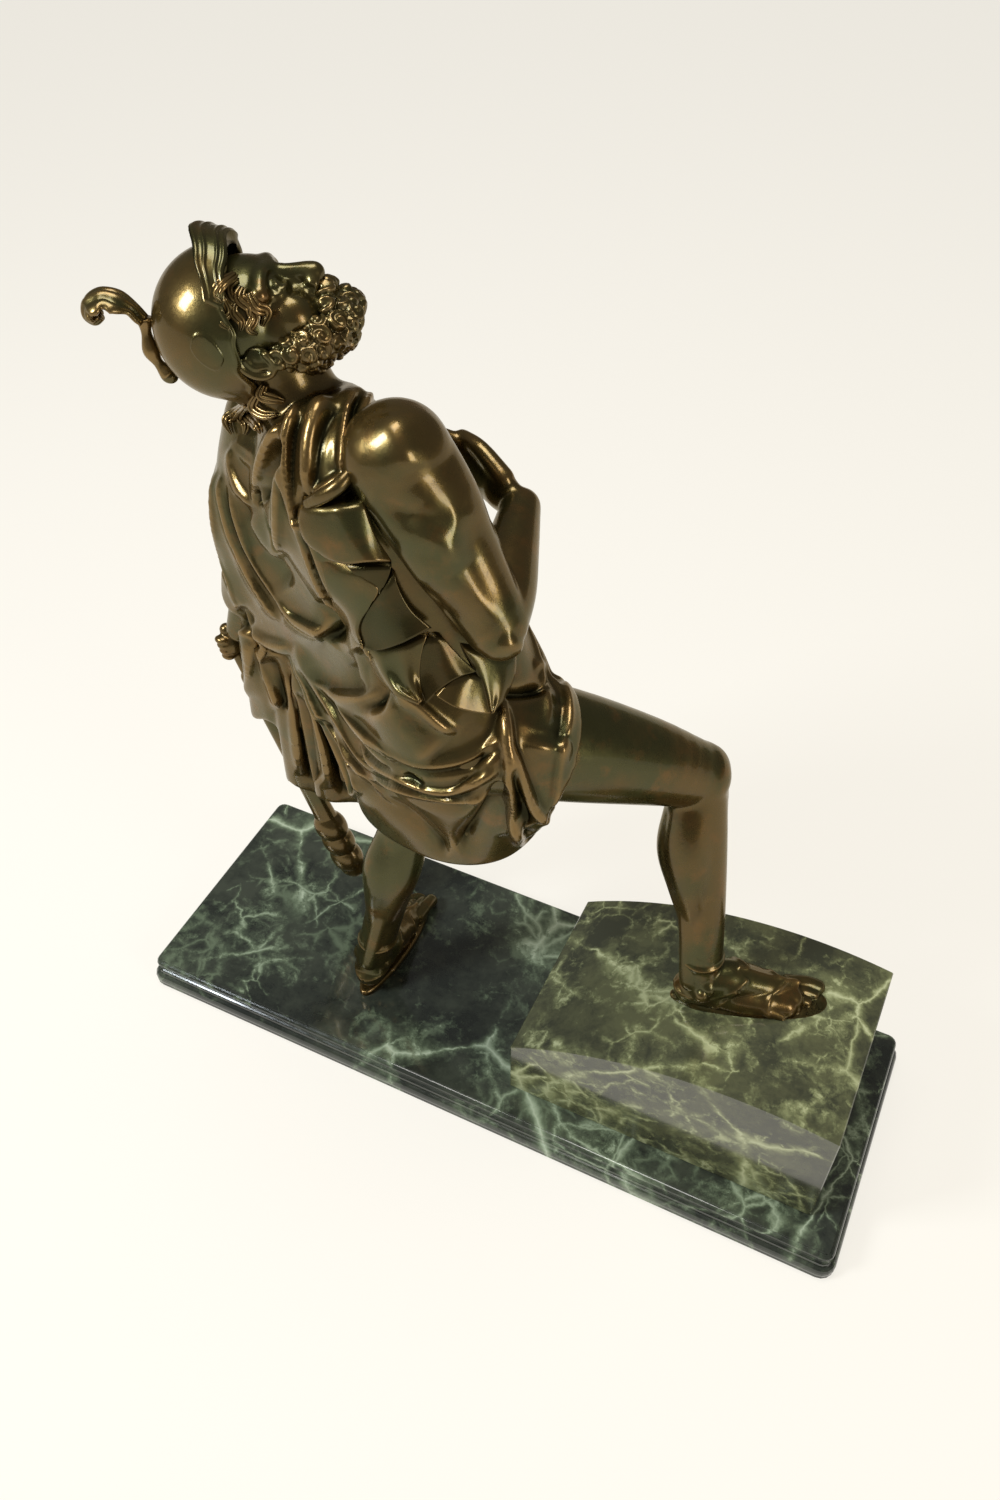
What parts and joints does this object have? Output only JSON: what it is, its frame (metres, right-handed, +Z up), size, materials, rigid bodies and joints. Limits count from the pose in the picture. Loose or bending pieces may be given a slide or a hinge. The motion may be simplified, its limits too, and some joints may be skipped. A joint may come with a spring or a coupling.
{
  "type": "classical warrior statue",
  "caption": "Cast bronze statue of a helmeted, bearded classical warrior in a cloak, one foot up on a curved marble step, on a two-slab marble base.",
  "frame": {"origin": "centre of the underside of the base", "axes": "+Z up, +X along the base towards the step under the right foot, -Y the side that the figure's back is turned to"},
  "size_m": [0.616, 0.216, 0.6826],
  "materials": {
    "dark_green_marble": "polished dark green serpentine marble with pale veins",
    "olive_green_marble": "polished olive green marble with dense pale veins",
    "brown_green_bronze": "waxed brown and green bronze patina"
  },
  "bodies": {
    "root": {"base_lower_slab": "dark_green_marble", "base_upper_slab": "dark_green_marble", "step_block": "olive_green_marble", "bronze_figure": "brown_green_bronze"}
  },
  "joints": []
}
